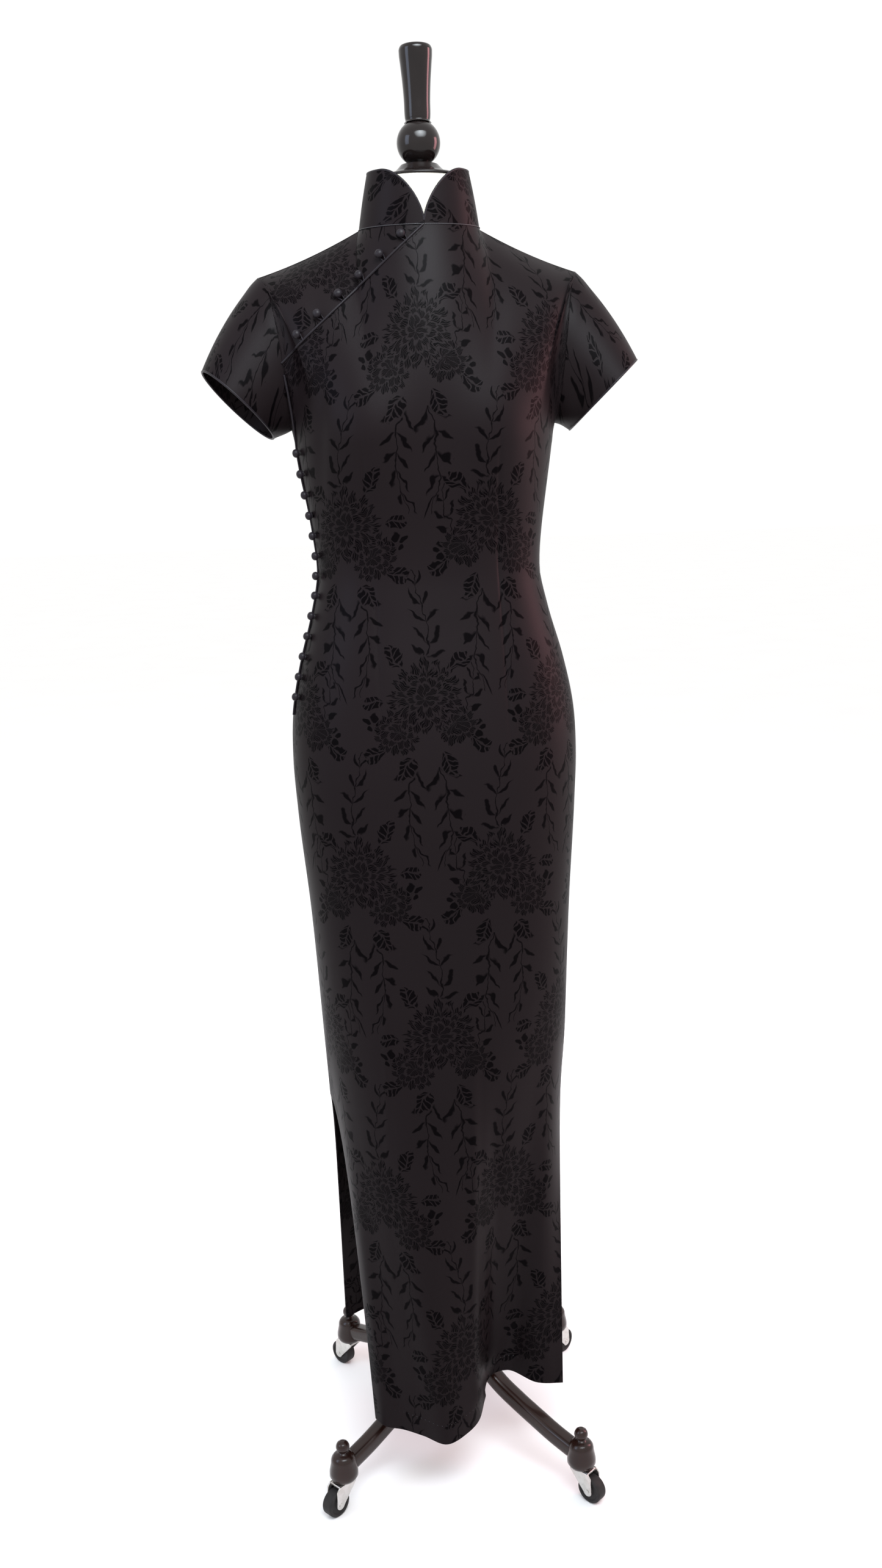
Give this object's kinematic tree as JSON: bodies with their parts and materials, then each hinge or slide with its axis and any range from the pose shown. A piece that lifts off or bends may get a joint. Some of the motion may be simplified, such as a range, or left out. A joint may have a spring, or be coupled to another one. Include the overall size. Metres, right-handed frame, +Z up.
{
  "type": "cheongsam dress on a limbless dress form with a caster stand",
  "caption": "Full-length black cheongsam with a stand collar, slanted closure and side slits, worn by a limbless dress form on a caster stand.",
  "frame": {"origin": "on the floor under the middle of the dress form", "axes": "+Z up, the dress faces -Y, the wearer's left is +X"},
  "size_m": [0.5132, 0.3792, 1.741],
  "materials": {
    "cloth": "satin jacquard",
    "piping": "satin",
    "padding": "plain white cover",
    "lacquer": "glossy black lacquer",
    "wood": "dark stained and varnished",
    "steel": "bright",
    "rubber": "dark tread"
  },
  "bodies": {
    "dress_form": {"front_panel": "cloth", "back_panel": "cloth", "front_yoke": "cloth", "sleeve_right": "cloth", "sleeve_left": "cloth", "collar": "cloth", "collar_piping": "piping", "closure_piping": "piping", "side_piping": "piping", "sleeve_right_piping": "piping", "sleeve_left_piping": "piping", "button_closure_1": "piping", "button_closure_2": "piping", "button_closure_3": "piping", "button_closure_4": "piping", "button_closure_5": "piping", "button_closure_6": "piping", "button_side_1": "piping", "button_side_2": "piping", "button_side_3": "piping", "button_side_4": "piping", "button_side_5": "piping", "button_side_6": "piping", "button_side_7": "piping", "button_side_8": "piping", "button_side_9": "piping", "button_side_10": "piping", "button_side_11": "piping", "button_side_12": "piping", "button_side_13": "piping", "form_torso": "padding", "neck_cap": "lacquer", "finial": "lacquer", "pole": "steel", "stand_hub": "wood", "stand_leg_back_left": "wood", "stand_leg_back_right": "wood", "stand_leg_front_right": "wood", "stand_leg_front_left": "wood", "stand_post_back_left": "wood", "stand_post_back_right": "wood", "stand_post_front_right": "wood", "stand_post_front_left": "wood"},
    "caster_back_left": {"caster_fork_back_left": "steel"},
    "wheel_back_left": {"caster_wheel_back_left": "rubber"},
    "caster_back_right": {"caster_fork_back_right": "steel"},
    "wheel_back_right": {"caster_wheel_back_right": "rubber"},
    "caster_front_right": {"caster_fork_front_right": "steel"},
    "wheel_front_right": {"caster_wheel_front_right": "rubber"},
    "caster_front_left": {"caster_fork_front_left": "steel"},
    "wheel_front_left": {"caster_wheel_front_left": "rubber"}
  },
  "joints": [
    {"name": "swivel_back_left", "type": "hinge", "parent": "dress_form", "child": "caster_back_left", "pos_m": [0.16075, 0.13974, 0.0415], "axis": [0, 0, 1], "continuous": true},
    {"name": "roll_back_left", "type": "hinge", "parent": "caster_back_left", "child": "wheel_back_left", "pos_m": [0.17283, 0.15024, 0.01699], "axis": [-0.6561, 0.7547, 0], "continuous": true},
    {"name": "swivel_back_right", "type": "hinge", "parent": "dress_form", "child": "caster_back_right", "pos_m": [-0.13974, 0.16075, 0.0415], "axis": [0, 0, 1], "continuous": true},
    {"name": "roll_back_right", "type": "hinge", "parent": "caster_back_right", "child": "wheel_back_right", "pos_m": [-0.15024, 0.17283, 0.01699], "axis": [-0.7547, -0.6561, 0], "continuous": true},
    {"name": "swivel_front_right", "type": "hinge", "parent": "dress_form", "child": "caster_front_right", "pos_m": [-0.16075, -0.13974, 0.0415], "axis": [0, 0, 1], "continuous": true},
    {"name": "roll_front_right", "type": "hinge", "parent": "caster_front_right", "child": "wheel_front_right", "pos_m": [-0.17283, -0.15024, 0.01699], "axis": [0.6561, -0.7547, 0], "continuous": true},
    {"name": "swivel_front_left", "type": "hinge", "parent": "dress_form", "child": "caster_front_left", "pos_m": [0.13974, -0.16075, 0.0415], "axis": [0, 0, 1], "continuous": true},
    {"name": "roll_front_left", "type": "hinge", "parent": "caster_front_left", "child": "wheel_front_left", "pos_m": [0.15024, -0.17283, 0.01699], "axis": [0.7547, 0.6561, 0], "continuous": true}
  ]
}
